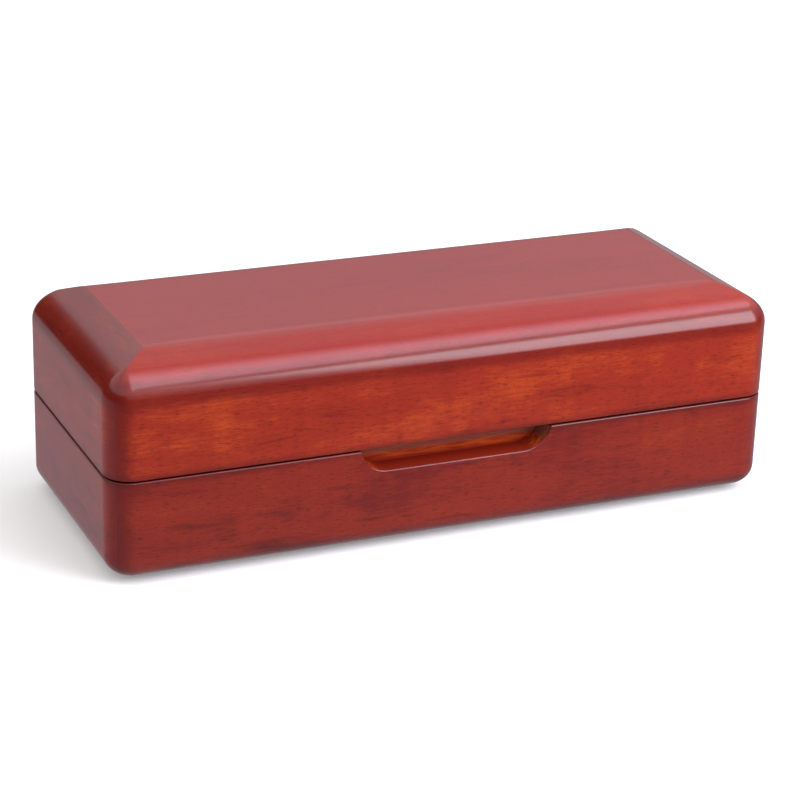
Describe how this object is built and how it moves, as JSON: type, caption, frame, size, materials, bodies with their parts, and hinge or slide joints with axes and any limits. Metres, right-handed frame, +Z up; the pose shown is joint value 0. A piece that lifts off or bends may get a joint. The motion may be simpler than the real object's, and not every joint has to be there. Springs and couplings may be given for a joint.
{
  "type": "hinged keepsake box",
  "caption": "Long low wooden keepsake box with a hinged lid, bevelled lid border, rounded corners, velvet lining and a finger scoop in the front rim.",
  "frame": {"origin": "middle of the underside, where the felt rests", "axes": "+X along the box, +Y towards the hinged back, +Z up"},
  "size_m": [0.2, 0.0808, 0.063],
  "materials": {
    "lacquered_wood": "clear gloss lacquer over red-brown stain",
    "velvet": "short pile",
    "felt": "thin pressed felt",
    "brass": "polished"
  },
  "bodies": {
    "base": {"base_front_panel": "lacquered_wood", "base_back_panel": "lacquered_wood", "base_left_panel": "lacquered_wood", "base_right_panel": "lacquered_wood", "base_bottom_board": "lacquered_wood", "base_felt": "felt", "base_liner_front": "velvet", "base_liner_back": "velvet", "base_liner_left": "velvet", "base_liner_right": "velvet", "base_floor_pad": "velvet", "hinge_left_base_leaf": "brass", "hinge_right_base_leaf": "brass", "hinge_left_pin": "brass", "hinge_right_pin": "brass", "hinge_left_base_screw_1": "brass", "hinge_left_base_screw_2": "brass", "hinge_right_base_screw_1": "brass", "hinge_right_base_screw_2": "brass"},
    "lid": {"lid_front_rail": "lacquered_wood", "lid_back_rail": "lacquered_wood", "lid_left_rail": "lacquered_wood", "lid_right_rail": "lacquered_wood", "lid_top_board": "lacquered_wood", "lid_liner_front": "velvet", "lid_liner_back": "velvet", "lid_liner_left": "velvet", "lid_liner_right": "velvet", "lid_pad": "velvet", "hinge_left_lid_leaf": "brass", "hinge_right_lid_leaf": "brass", "hinge_left_lid_screw_1": "brass", "hinge_left_lid_screw_2": "brass", "hinge_right_lid_screw_1": "brass", "hinge_right_lid_screw_2": "brass"}
  },
  "joints": [
    {"name": "lid_hinge", "type": "hinge", "parent": "base", "child": "lid", "pos_m": [0, 0.03865, 0.0305], "axis": [-1, 0, 0], "range_deg": [0, 95]}
  ]
}
